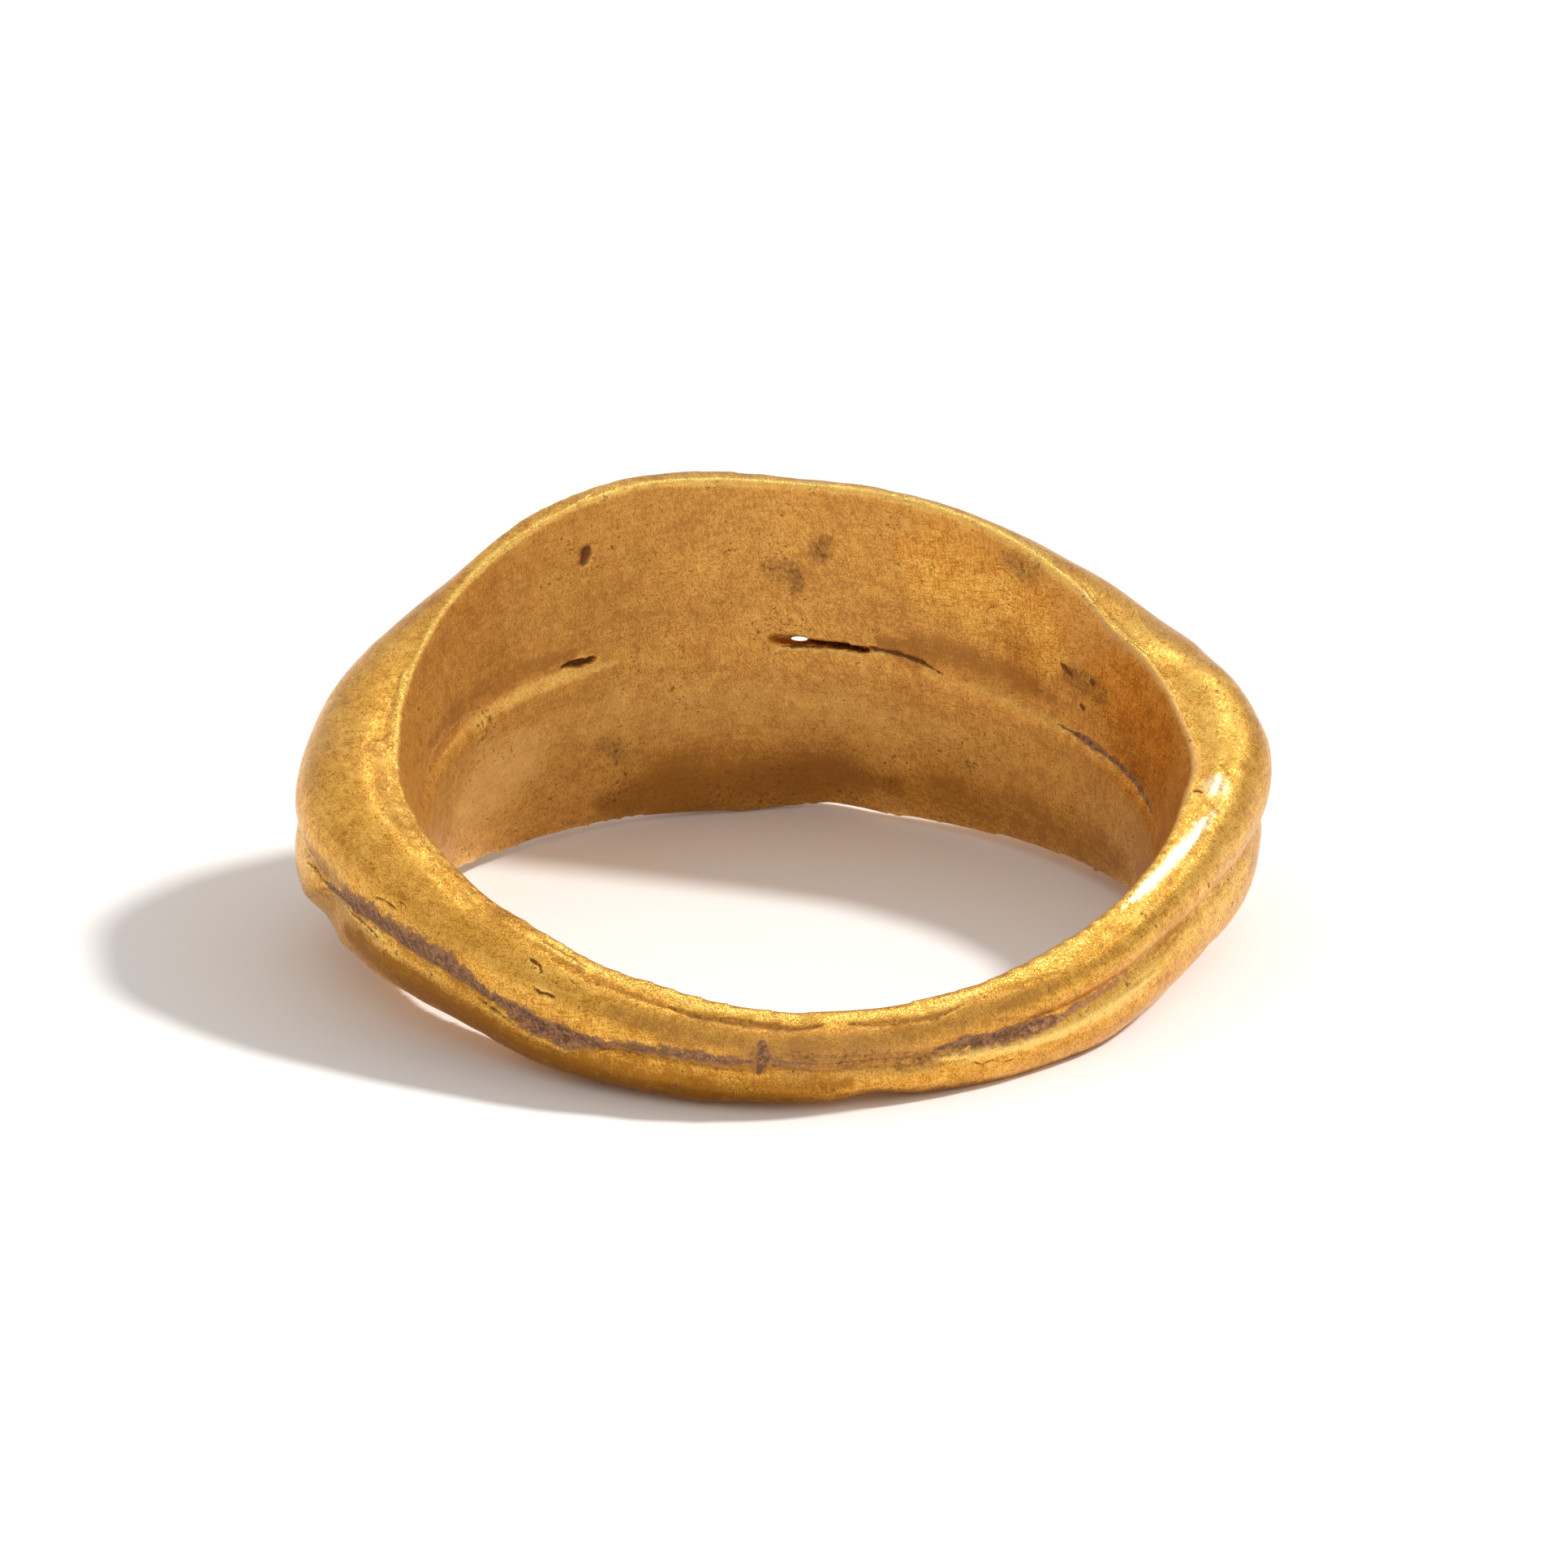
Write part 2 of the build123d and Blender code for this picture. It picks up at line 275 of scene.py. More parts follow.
    Mark("less dull lower face", ((1100, 968), (1180, 982), (1260, 1008), (1330, 1034),
         (1388, 1064)), 1.0, stain=0.3, rub=-0.4, film=-0.3),
    Mark("clean upper face on the right", ((1370, 850), (1430, 950)), 1.4, film=-0.6),
    Mark("bright upper face on the right", ((1120, 680), (1190, 720), (1260, 770), (1300, 830)),
         1.4, rub=0.35, film=-0.5),
    # Painted light: the lower face is lightened where the key light and the lit floor's reflection
    # fall on it.
    Mark("pale lower face", ((570, 990), (610, 960), (660, 930)), 1.3, rub=0.4, film=0.6),
    Mark("brighter lower face", ((640, 905), (760, 885), (900, 872), (1050, 878), (1180, 905)), 0.9,
         rub=0.4, film=0.2),
    Mark("smudge on the lower face", ((735, 920), (755, 915), (770, 950)), 0.5, stain=0.52),
    Mark("streak on the lower face", ((668, 880), (666, 910), (660, 945)), 0.14, stain=0.4),
    # The left shoulder and the left front
    # Painted shade: the lower hoop at the left is dulled where it reflects the shadowed floor.
    Mark("dull lower hoop", ((420, 1152), (480, 1192), (560, 1240), (640, 1282), (720, 1316),
         (800, 1337), (880, 1347)), 0.8, rub=-0.9),
    Mark("upper crack", ((652, 1180), (659, 1184), (668, 1191)), 0.07, depth=0.025, stain=1.0),
    Mark("its tail", ((663, 1185), (668, 1196), (664, 1199)), 0.04, depth=0.015, stain=0.8),
    Mark("short crack", ((645, 1206), (648, 1214)), 0.05, depth=0.015, stain=0.7),
    Mark("lower crack", ((657, 1213), (666, 1221), (675, 1222), (687, 1228)), 0.055, depth=0.02,
         stain=1.0),
    Mark("faint crack", ((700, 1204), (710, 1211), (718, 1221)), 0.05, depth=0.015, stain=0.6),
    Mark("crack over the groove", ((459, 1103), (474, 1109), (491, 1122)), 0.05, depth=0.02,
         stain=0.9),
    Mark("fork of that crack", ((491, 1110), (500, 1116), (499, 1122)), 0.05, depth=0.015,
         stain=0.9),
    Mark("nick over the groove", ((463, 1077), (469, 1089)), 0.06, depth=0.015, stain=0.6),
    Mark("dot on the left front", ((545, 1087), (546, 1088)), 0.05, depth=0.02, stain=1.0),
    Mark("scuffed patch", ((449, 919), (460, 910), (474, 902)), 0.20, depth=0.01, stain=0.45),
    Mark("scratch on the left edge", ((394, 922), (399, 914)), 0.04, depth=0.01, stain=0.8),
    Mark("hooked nick", ((470, 975), (474, 971), (477, 975)), 0.05, depth=0.015, stain=0.8),
    Mark("dots under it", ((473, 993), (472, 998)), 0.05, depth=0.015, stain=0.7),
    Mark("dot by the rim", ((471, 1031), (474, 1030)), 0.05, depth=0.015, stain=0.8),
    Mark("dot on the shoulder", ((431, 988), (432, 989)), 0.05, depth=0.015, stain=0.8),
    # The right shoulder and the right front
    Mark("dark nick", ((1467, 975), (1474, 974), (1482, 977)), 0.06, depth=0.025, stain=1.0),
    Mark("long cut", ((1478, 984), (1487, 989), (1493, 994), (1502, 1003)), 0.07, depth=0.03,
         stain=0.2),
    Mark("second cut", ((1499, 941), (1507, 949), (1515, 956)), 0.04, depth=0.03, stain=0.1),
    Mark("scratch on the upper hoop", ((1292, 1213), (1293, 1225)), 0.04, depth=0.01, stain=0.7),
    Mark("scratch by the groove", ((1341, 1207), (1347, 1215)), 0.04, depth=0.01, stain=0.7),
    Mark("cracks of the lower hoop", ((1192, 1312), (1199, 1308), (1210, 1312), (1222, 1306),
         (1237, 1309), (1256, 1303)), 0.045, depth=0.015, stain=0.8),
    Mark("dot on the lower hoop", ((1350, 1266), (1354, 1263)), 0.05, depth=0.02, stain=0.9),
    Mark("dot further up", ((1399, 1236), (1402, 1233)), 0.05, depth=0.02, stain=0.8),
    Mark("dot on the right hoop", ((1425, 1141), (1426, 1143)), 0.05, depth=0.015, stain=0.8),
]

# The slit's walls, by degrees round the hole, and by millimetres from its axis and along it
SLIT_ANGLES = (60, 86)
SLIT_REACH = (7.4, 8.0)
SLIT_HALF = 0.25
SLIT_SOIL = 0.6             # how full of soil they look

# The slit is narrowed from above between these degrees, by a share of its height
SQUEEZE_START = (56, 68)
SQUEEZE_END = (72, 92)
SQUEEZE_SHARE = 0.6
SLIT_FOOT = -0.1            # millimetres along the hole's axis
SLIT_TOP = 0.1
SQUEEZE_TOP = 0.7

# Lamps, by the way from the ring to each, to the right, to the back and up. The key lights the
# floor. The others show in the gold alone, as a studio's soft boxes do. spread: in degrees.
Lamp = namedtuple("Lamp", "name right back up spread strength in_gold")
LAMPS = [
    Lamp("key", 0.71, 0.0, 0.71, 7, 2.9, False),
    Lamp("gleam of the key", 0.60, 0.25, 0.74, 16, 0.27, True),
    Lamp("window", 0.22, 0.45, 0.865, 6, 0.22, True),
    Lamp("soft box", -0.35, 0.35, 0.87, 70, 0.2, True),
]

# The slit's left end is open right through along the line of sight. All but its pixel and its
# sides are in millimetres.
GAP_PIXEL = (985, 787)
GAP_WIDTH = 0.36
GAP_HEIGHT = 0.09
GAP_DEPTH = 4
GAP_SIDES = 24

# Places where wear has rounded the edges, by degrees round the hole and millimetres along its axis
Worn = namedtuple("Worn", "name first last low high times")
WORN = [
    Worn("ledge right of the slit", 30, 62, -0.7, 0.4, 12),
    Worn("ledge left of the slit", 84, 110, -0.7, 0.4, 12),
    Worn("upper hoop at the left shoulder", 160, 188, 0.3, 3.0, 8),
    Worn("upper hoop at the left front", 188, 238, 0.3, 3.0, 14),
    Worn("foot of the bezel", 50, 130, -5.0, -3.5, 12),
    Worn("foot left of the bezel", 130, 165, -4.4, -2.4, 12),
    Worn("foot right of the bezel", 15, 50, -4.6, -2.6, 12),
    Worn("upper hoop at the right front", 285, 352, 0.3, 3.0, 8),
]

# A dent moves all that lies within radius of its place by depth, in millimetres, into the gold.
Dent = namedtuple("Dent", "name x y radius depth")
DENTS = [
    Dent("notch of the front rim", 985, 1254, 0.45, 0.06),
    Dent("lower edge of the bezel, bent out", 1010, 990, 2.0, 0.30),
    Dent("hollow over the crease on the right", 1235, 808, 1.2, 0.10),
    Dent("hollow in the upper face", 640, 790, 1.5, 0.08),
    Dent("fuller right shoulder", 1540, 900, 1.5, -0.12),
    Dent("fuller top of the right shoulder", 1505, 845, 1.4, -0.18),
    Dent("saddle before the right shoulder", 1400, 755, 1.5, 0.19),
    Dent("flat of the left front", 575, 1110, 1.1, 0.07),
    Dent("flat over the front", 830, 1262, 1.0, 0.05),
]

# A shift moves all that lies round a line of sight across it, to the right and up in the picture.
Shift = namedtuple("Shift", "name x y right up radius")
SHIFTS = [
    Shift("kink of the lower hoop", 399, 1130, 0.22, 0.24, 0.75),
    Shift("lower hoop below the kink", 432, 1162, 0.10, 0.06, 0.9),
    Shift("fuller lower hoop at the left front", 680, 1300, -0.03, -0.10, 2.6),
    Shift("notch in the front foot", 1078, 1346, 0.0, 0.12, 1.2),
    Shift("slimmer lower hoop on the right", 1476, 1166, -0.07, 0.07, 2.4),
    Shift("slimmer left shoulder", 415, 885, 0.12, -0.08, 2.2),
    Shift("corner of the inner rim on the right", 1467, 935, 0.12, 0.0, 1.1),
]
SHIFT_REACH = 3.0           # how far along the line of sight that goes, in millimetres


def linear(code):
    """An sRGB hex colour as linear red, green and blue."""
    parts = [int(code[i:i + 2], 16) / 255 for i in (0, 2, 4)]
    return tuple(c / 12.92 if c <= 0.04045 else ((c + 0.055) / 1.055) ** 2.4 for c in parts)


def length(name, description, default):
    """A length in metres that the user may change."""
    return FloatProperty(name=name, description=description, default=default, min=0,
                         unit="LENGTH", precision=6)


def colour(name, description, code):
    """A colour that the user may change."""
    return FloatVectorProperty(name=name, description=description, default=linear(code),
                               subtype="COLOR", size=3, min=0, max=1)


class RingSizes(bpy.types.PropertyGroup):
    """Sizes of the ring's surface."""

    cell: length("Cell", "Size of the mesh's first cells", 0.085 * MM)
    fine_cell: length("Fine cell", "Size of the cells at the marks", 0.04 * MM)
    fewer: FloatProperty(name="Fewer", description="Share of the first cells that is kept",
                         default=0.42, min=0.05, max=1)
    soften: IntProperty(name="Soften", description="Times that the edges are rounded", default=5,
                        min=0)
    wave_width: length("Wave width", "Width of the hammered waves", 2.4 * MM)
    wave_height: length("Wave height", "Height of the hammered waves", 0.05 * MM)
    dimple_width: length("Dimple width", "Width of the small dents of wear", 0.6 * MM)
    dimple_depth: length("Dimple depth", "Depth of the small dents of wear", 0.018 * MM)
    nick_width: length("Nick width", "Width of the nicks along the edges", 0.35 * MM)
    nick_depth: length("Nick depth", "Depth of the nicks along the edges", 0.005 * MM)
    grit_width: length("Grit width", "Width of the soil's crumbs", 0.11 * MM)
    grit_height: length("Grit height", "Height of the soil's crumbs", 0.03 * MM)


class RingColours(bpy.types.PropertyGroup):
    """Colours of the gold and of what lies on it."""

    gold: colour("Gold", "Rubbed gold", "FFD16B")
    middle: colour("Middle gold", "Gold where it is less rubbed", "E6AA4A")
    deep: colour("Deep gold", "Gold under a brown film", "B67C2A")
    film: colour("Film", "Pale film on the inner faces", "E0AE6E")
    # Dull: unworn gold, and mostly painted shade where the marks darken creases, hollows and faces
    # that reflect the shadowed floor.
    dull: colour("Dull gold", "Gold that no wear reaches", "8E5A1C")
    # Bright: a painted highlight, near-white where the lamp's highlight falls on the polished
    # streak and spot.
    bright: colour("Bright gold", "Gold that skin has burnished", "FFF1D0")
    soil: colour("Soil", "Dried soil in the groove", "AC7A50")
    soil_dark: colour("Dark soil", "Damp soil deep in the groove", "523019")
    stain: colour("Stain", "Brown stains on the gold", "6C3E14")


class StageSizes(bpy.types.PropertyGroup):
    """Camera, lights and floor."""

    azimuth: FloatProperty(name="Azimuth", description="Camera's turn round the ring",
                           default=math.radians(-10), subtype="ANGLE")
    elevation: FloatProperty(name="Elevation", description="Camera's height over the floor",
                             default=math.radians(21.5), subtype="ANGLE")
    distance: length("Distance", "Camera to the point that it looks at", 350 * MM)
    aim_height: length("Aim height", "That point's height over the hole's middle", 0.93 * MM)
    lens: FloatProperty(name="Lens", description="Focal length in millimetres", default=380.2,
                        min=1, unit="CAMERA")
    floor_width: length("Floor width", "Width of the floor", 1.6)
    fill_strength: FloatProperty(name="Fill", description="Light from the whole room",
                                 default=0.69, min=0)
    room_colour: colour("Room colour", "Tint of the light from the whole room", "FFFBF8")
    floor_colour: colour("Floor colour", "Plain pale floor", "F4F2F0")


def look_from(stage):
    """Camera's place in metres and its turn as a matrix."""
    turn, rise = stage.azimuth, stage.elevation
    back = Vector((math.sin(turn) * math.cos(rise), -math.cos(turn) * math.cos(rise),
                   math.sin(rise)))
    target = HOLE_POINT * MM + Vector((0, 0, stage.aim_height))
    return target + back * stage.distance, (-back).to_track_quat("-Z", "Y").to_matrix()


class Sight:
    """Finds the place on the ring, in millimetres, that a pixel of the photograph shows."""

    def __init__(self, stage, bm):
        eye, self.turn = look_from(stage)
        self.eye = eye / MM
        self.across = SENSOR / PICTURE / stage.lens
        self.tree = BVHTree.FromBMesh(bm)

    def hit(self, x, y):
        """Place on the ring under the pixel, and the way that the surface faces there."""
        middle = PICTURE / 2
        ray = self.turn @ Vector(((x - middle) * self.across, (middle - y) * self.across, -1))
        place, facing, _, _ = self.tree.ray_cast(self.eye, ray.normalized())
        if place is None:
            raise RuntimeError(f"no gold under pixel {x}, {y}")
        return place, facing

    def along(self, points):
        """Places on the ring along a line of pixels, one every few pixels."""
        found = []
        for (x0, y0), (x1, y1) in zip(points, points[1:]):
            count = math.ceil(math.hypot(x1 - x0, y1 - y0) / PATH_STEP)
            for i in range(count + 1):
                share = i / count
                found.append(self.hit(x0 + (x1 - x0) * share, y0 + (y1 - y0) * share)[0])
        return found


def merged_copy():
    """The CAD solid as a closed mesh of its own, in millimetres."""
    bm = bmesh.new()
    bm.from_mesh(frame["nodes"]["double_ring"].data)
    bmesh.ops.scale(bm, vec=(1 / MM,) * 3, verts=bm.verts)
    bmesh.ops.remove_doubles(bm, verts=bm.verts, dist=SAME_PLACE)
    return bm


def modified(bm, kind, **settings):
    """The mesh after one modifier, as a new one. The old one is freed."""
    mesh = bpy.data.meshes.new("work")
    bm.to_mesh(mesh)
    bm.free()
    holder = bpy.data.objects.new("work", mesh)
    bpy.context.scene.collection.objects.link(holder)
    modifier = holder.modifiers.new("work", kind)
    for name, value in settings.items():
        setattr(modifier, name, value)
    graph = bpy.context.evaluated_depsgraph_get()
    made = bpy.data.meshes.new_from_object(holder.evaluated_get(graph))
    bpy.data.objects.remove(holder)
    bpy.data.meshes.remove(mesh)
    bm = bmesh.new()
    bm.from_mesh(made)
    bpy.data.meshes.remove(made)
    return bm


def smooth(bm, verts, times):
    """Rounds the mesh at those points, a little each time."""
    for _ in range(times):
        bmesh.ops.smooth_vert(bm, verts=verts, factor=SMOOTH_SHARE, use_axis_x=True,
                              use_axis_y=True, use_axis_z=True)


def point_tree(points):
    """A tree that finds the points near a place."""
    tree = KDTree(len(points))
    for i, point in enumerate(points):
        tree.insert(point, i)
    tree.balance()
    return tree


def refine(bm, paths, cell):
    """Splits the edges near the marks until they are about a cell long."""
    points = [(place, mark.width) for mark, path in paths
              if mark.depth or mark.soil or mark.stain > WEAK_STAIN for place in path]
    tree = point_tree([place for place, _ in points])
    for _ in range(REFINE_ROUNDS):
        edges = []
        for edge in bm.edges:
            if edge.calc_length() < cell * EDGE_SLACK:
                continue
            middle = (edge.verts[0].co + edge.verts[1].co) / 2
            _, i, distance = tree.find(middle)
            if distance < min(points[i][1], REFINE_REACH) + edge.calc_length():
                edges.append(edge)
        bmesh.ops.subdivide_edges(bm, edges=edges, cuts=1, use_grid_fill=True,
                                  use_single_edge=True)
        bmesh.ops.triangulate(bm, faces=[face for face in bm.faces if len(face.verts) > 3])


def soft_step(values, low, high):
    """0 below low, 1 above high and smooth between them, for an array."""
    share = np.clip((values - low) / (high - low), 0, 1)
    return share * share * (3 - 2 * share)


def between(values, low, high):
    """Where an array's values lie between low and high."""
    return (values > low) & (values < high)


def bumps(places, width, seed):
    """Smooth random heights from about -1 to 1, that change over about that width."""
    shift = Vector((seed, -seed, seed / 2))
    return np.array([noise.noise(place / width + shift) for place in places])


class Skin:
    """The ring's points as arrays, in millimetres, for moves that no operator makes."""

    def __init__(self, bm):
        bm.verts.ensure_lookup_table()
        bm.normal_update()
        self.bm = bm
        self.vectors = [v.co.copy() for v in bm.verts]
        self.facing = np.array([v.normal for v in bm.verts])
        self.places = np.array(self.vectors)
        self.tree = point_tree(self.vectors)
        zeros = np.zeros((5, len(self.places)))
        self.soil, self.stain, self.rub, self.film, self.polish = zeros

    def ridges(self):
        """How sharply each point stands out, in 1 per millimetre: below 0 in a hollow."""
        ends = np.array([(e.verts[0].index, e.verts[1].index) for e in self.bm.edges])
        span = self.places[ends[:, 1]] - self.places[ends[:, 0]]
        size = (span ** 2).sum(1)
        count = len(self.places)
        total = np.zeros(count)
        fall = np.zeros(count)
        for start, way in ((0, 1), (1, -1)):
            here = ends[:, start]
            np.add.at(fall, here, -way * (span * self.facing[here]).sum(1))
            np.add.at(total, here, size)
        sharp = 2 * fall / np.maximum(total, SAME_PLACE ** 2)
        for _ in range(RIDGE_BLUR):
            near = np.zeros(count)
            links = np.zeros(count)
            for here, there in ((ends[:, 0], ends[:, 1]), (ends[:, 1], ends[:, 0])):
                np.add.at(near, here, sharp[there])
                np.add.at(links, here, 1)
            sharp = (sharp + near / links) / 2
        return sharp

    def push(self, distance):
        """Moves each point along the way it faces by its distance."""
        self.places += self.facing * distance[:, None]

    def press(self, mark, path):
        """Presses a mark into the gold, or raises it, with its soil and stain."""
        shares = {}
        path = path[::max(1, round(mark.width / WIDE_STEP))]
        for i, place in enumerate(path):
            end = min(i, len(path) - 1 - i) / max(1, len(path) - 1)
            taper = END_TAPER + (1 - END_TAPER) * min(1, TAPER_SPEED * end)
            reach = mark.width * taper * (1 + ROUGH_EDGE * noise.noise(place / ROUGH_STEP))
            for _, index, distance in self.tree.find_range(place, reach):
                shares[index] = max(shares.get(index, 0), 1 - distance / reach)
        indices = np.array(list(shares), int)
        share = soft_step(np.array(list(shares.values())), 0, 1)
        fill = soft_step(np.array(list(shares.values())), 0, MARK_EDGE)
        form = share if mark.depth > 0 else fill
        self.places[indices] -= self.facing[indices] * (mark.depth * form)[:, None]
        self.rub[indices] += fill * mark.rub
        self.film[indices] += fill * mark.film
        for values, most in ((self.soil, mark.soil), (self.stain, mark.stain),
                             (self.polish, mark.polish)):
            values[indices] = np.maximum(values[indices], fill * most)

    def dent(self, dent, place, facing):
        """Moves what lies round the place straight in by the dent's depth."""
        for _, index, distance in self.tree.find_range(place, dent.radius):
            share = soft_step(np.array(1 - distance / dent.radius), 0, 1)
            self.places[index] -= np.array(facing) * dent.depth * float(share)

    def shift(self, shift, place, sight):
        """Moves what lies round the line of sight across it."""
        along = np.array((place - sight.eye).normalized())
        off = self.places - np.array(place)
        deep = off @ along
        aside = np.linalg.norm(off - deep[:, None] * along, axis=1)
        share = (soft_step(1 - aside / shift.radius, 0, 1)
                 * soft_step(1 - np.abs(deep) / SHIFT_REACH, 0, 1))
        move = sight.turn.col[0] * shift.right + sight.turn.col[1] * shift.up
        self.places += share[:, None] * np.array(move)

    def write(self):
        """Puts the points back, inside the box of the CAD solid."""
        self.places = np.clip(self.places, *(np.array(corner) / MM for corner in CAD_BOX))
        for vertex, place in zip(self.bm.verts, self.places):
            vertex.co = place
        self.bm.normal_update()


def round_hole(places):
    """Angle round the finger hole in degrees, distance from its axis, and height along it."""
    off = places - np.array(HOLE_POINT)
    across = off @ np.array(HOLE_ACROSS)
    upward = off @ np.array(HOLE_UPWARD)
    angle = np.degrees(np.arctan2(upward, across)) % 360
    return angle, np.hypot(across, upward), off @ np.array(HOLE_AXIS)


def open_gap(bm, sight):
    """The mesh with the slit's left end open right through, as a new one."""
    place, _ = sight.hit(*GAP_PIXEL)
    along = (place - sight.eye).normalized()
    across = along.cross(HOLE_AXIS).normalized()
    turn = Matrix((across, along.cross(across), along)).transposed().to_4x4()
    tube = bmesh.new()
    bmesh.ops.create_cone(tube, cap_ends=True, segments=GAP_SIDES, radius1=0.5, radius2=0.5,
                          depth=1)
    bmesh.ops.scale(tube, vec=(GAP_WIDTH, GAP_HEIGHT, GAP_DEPTH), verts=tube.verts)
    bmesh.ops.transform(tube, matrix=Matrix.Translation(place) @ turn, verts=tube.verts)
    mesh = bpy.data.meshes.new("gap")
    tube.to_mesh(mesh)
    tube.free()
    cutter = bpy.data.objects.new("gap", mesh)
    bpy.context.scene.collection.objects.link(cutter)
    bm = modified(bm, "BOOLEAN", object=cutter, operation="DIFFERENCE", solver="EXACT")
    bpy.data.objects.remove(cutter)
    bpy.data.meshes.remove(mesh)
    bmesh.ops.triangulate(bm, faces=bm.faces)
    return bm


def squeeze(skin):
    """Narrows the slit from above."""
    angle, _, height = round_hole(skin.places)
    drop = SQUEEZE_SHARE * np.clip(height - SLIT_FOOT, 0, SLIT_TOP - SLIT_FOOT)
    drop *= 1 - soft_step(height, SLIT_TOP, SQUEEZE_TOP)
    drop *= soft_step(angle, *SQUEEZE_START) * (1 - soft_step(angle, *SQUEEZE_END))
    skin.places -= drop[:, None] * np.array(HOLE_AXIS)


def hammered_hoops(sizes):
    """The CAD solid as one fine mesh with worn edges, hammered waves and small dents of wear."""
    solid = merged_copy()
    surface = BVHTree.FromBMesh(solid)
    bm = modified(solid, "REMESH", mode="VOXEL", voxel_size=sizes.cell / MM)
    for vertex in bm.verts:
        vertex.co = surface.find_nearest(vertex.co)[0]
    smooth(bm, bm.verts, sizes.soften)
    angle, _, height = round_hole(np.array([v.co for v in bm.verts]))
    for worn in WORN:
        here = between(angle, worn.first, worn.last) & between(height, worn.low, worn.high)
        smooth(bm, [v for v, inside in zip(bm.verts, here) if inside], worn.times)
    skin = Skin(bm)
    ridges = soft_step(skin.ridges(), RIDGE_LOW, RIDGE_HIGH)
    wave = bumps(skin.vectors, sizes.wave_width / MM, WAVE_SEED)
    ripple = bumps(skin.vectors, sizes.wave_width / MM / 2, RIPPLE_SEED)
    dimple = bumps(skin.vectors, sizes.dimple_width / MM, DIMPLE_SEED)
    nick = bumps(skin.vectors, sizes.nick_width / MM, NICK_SEED)
    skin.push((wave + ripple / 2) * sizes.wave_height / MM
              + np.minimum(dimple, 0) * sizes.dimple_depth / MM
              + np.minimum(nick, 0) * soft_step(ripple, *NICKED) * ridges * sizes.nick_depth / MM)
    squeeze(skin)
    skin.write()
    bm = modified(bm, "DECIMATE", ratio=sizes.fewer)
    bmesh.ops.triangulate(bm, faces=bm.faces)
    return bm


def marked_skin(bm, sizes, stage):
    """The hoops' skin with the slit's open end and every dent, shift and mark."""
    sight = Sight(stage, bm)
    paths = [(mark, sight.along(mark.path)) for mark in MARKS]
    dents = [(dent, *sight.hit(dent.x, dent.y)) for dent in DENTS]
    shifts = [(shift, sight.hit(shift.x, shift.y)[0]) for shift in SHIFTS]
    bm = open_gap(bm, sight)
    refine(bm, paths, sizes.fine_cell / MM)
    skin = Skin(bm)
    for dent, place, facing in dents:
        skin.dent(dent, place, facing)
    for shift, place in shifts:
        skin.shift(shift, place, sight)
    for mark, path in paths:
        skin.press(mark, path)
    return skin


class ShapeRing(bpy.types.Operator):
    """Build the worn gold ring over its CAD solid"""

    bl_idname = "double_ring.shape_ring"
    bl_label = "Gold Ring"

    def execute(self, context):
        sizes = context.scene.ring_sizes
        skin = marked_skin(hammered_hoops(sizes), sizes, context.scene.ring_stage)
        angle, reach, height = round_hole(skin.places)
        turn = np.radians(angle)
        outward = skin.facing @ np.array(HOLE_ACROSS) * np.cos(turn)
        outward += skin.facing @ np.array(HOLE_UPWARD) * np.sin(turn)
        hidden = between(angle, *HIDDEN_ANGLES) & (outward > 0)
        patches = soft_step(bumps(skin.vectors, sizes.nick_width / MM, PATCH_SEED), *PATCHED)
        skin.soil = np.maximum(skin.soil, soft_step(HIDDEN_BAND - np.abs(height), 0, HIDDEN_BAND)
                               * hidden * patches)
        slit = (between(angle, *SLIT_ANGLES) & between(reach, *SLIT_REACH)
                & between(height, -SLIT_HALF, SLIT_HALF))
        grit = bumps(skin.vectors, sizes.grit_width / MM, GRIT_SEED)
        skin.push(grit * skin.soil * sizes.grit_height / MM)
        skin.soil[slit] = SLIT_SOIL
        skin.write()
        # Rubbed edges by their sharpness, under the marks' rubbing, which is painted light at some
        # marks and painted shade below 0.
        rub = soft_step(skin.ridges(), RIDGE_LOW, RIDGE_HIGH)
        rub = np.clip(np.where(skin.rub < 0, skin.rub, np.maximum(rub, skin.rub)), -1, 1)
        lay = np.stack([np.cos(turn) * MEAN_REACH, np.sin(turn) * MEAN_REACH, height], 1)

        bm = skin.bm
        bmesh.ops.scale(bm, vec=(MM,) * 3, verts=bm.verts)
        for face in bm.faces:
            face.smooth = True
        mesh = bpy.data.meshes.new("gold_hoops")
        bm.to_mesh(mesh)
        bm.free()
        for name, values in (("soil", skin.soil), ("stain", skin.stain), ("rub", rub),
                             ("film", np.clip(skin.film, -1, 1)), ("polish", skin.polish),
                             ("inside", soft_step(-outward, *INNER))):
            mesh.attributes.new(name, "FLOAT", "POINT").data.foreach_set("value", values)
        mesh.attributes.new("lay", "FLOAT_VECTOR", "POINT").data.foreach_set(
            "vector", lay.ravel())
        ring = bpy.data.objects.new("gold_hoops", mesh)
        context.scene.collection.objects.link(ring)
        mesh.materials.append(gold_material(context.scene.ring_colours))
        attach(ring, "root")
        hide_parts("double_ring")
        return {"FINISHED"}


def add(tree, kind, inputs=None, **settings):
    """Adds a node with its settings. An input is a value, or a node and the name of its output."""
    node = tree.nodes.new(kind)
    for name, value in settings.items():
        setattr(node, name, value)
    for socket, value in (inputs or {}).items():
        if isinstance(value, tuple) and isinstance(value[0], bpy.types.Node):
            tree.links.new(value[0].outputs[value[1]], node.inputs[socket])
        else:
            node.inputs[socket].default_value = value
    return node


def per(millimetres):
    """Scale of a pattern on coordinates in metres, from the real width of its spots."""
    return 1 / (millimetres * MM)


